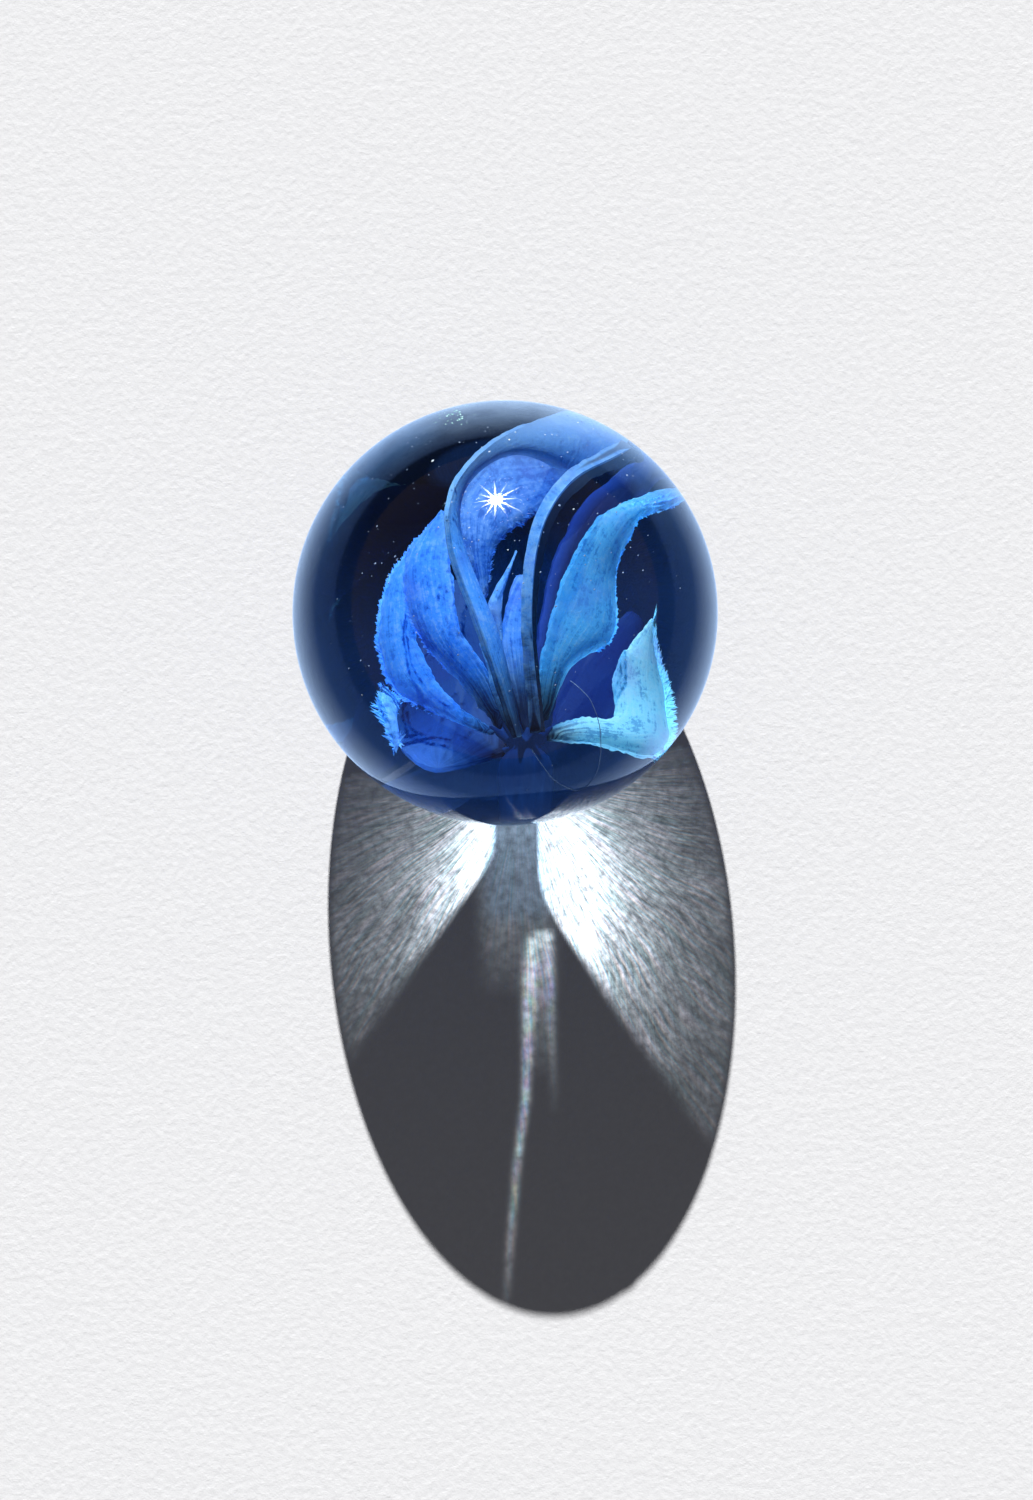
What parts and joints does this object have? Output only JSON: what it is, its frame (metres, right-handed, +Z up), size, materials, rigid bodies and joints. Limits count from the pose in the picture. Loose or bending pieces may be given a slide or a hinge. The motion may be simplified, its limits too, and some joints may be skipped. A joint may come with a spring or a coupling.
{
  "type": "glass marble",
  "caption": "Clear glass ball with a flower of thin blue glass leaves sealed inside it, fanned out from a dark stem near the front.",
  "frame": {"origin": "centre of the ball", "axes": "+Z up, away from the surface the marble lies on; -Y towards the front, where the stem is; +X to the right seen from the front"},
  "size_m": [0.025, 0.025, 0.025],
  "materials": {
    "clear_glass": "polished, faintly blue, with a few specks of dust",
    "azure_glass": "opaque azure glass, mottled, with ragged edges",
    "navy_glass": "opaque deep blue glass, smooth"
  },
  "bodies": {
    "root": {"glass_body": "clear_glass", "outer_left_leaf": "azure_glass", "inner_left_leaf": "azure_glass", "slim_left_leaf": "azure_glass", "left_ribbon_leaf": "azure_glass", "right_ribbon_leaf": "azure_glass", "throat_leaf": "azure_glass", "spike_leaf": "azure_glass", "middle_leaf": "azure_glass", "big_right_leaf": "azure_glass", "shaded_right_leaf": "navy_glass", "folded_right_leaf": "azure_glass", "rear_right_leaf": "navy_glass", "lower_left_leaf": "navy_glass", "side_sliver": "azure_glass", "stem": "navy_glass"}
  },
  "joints": []
}
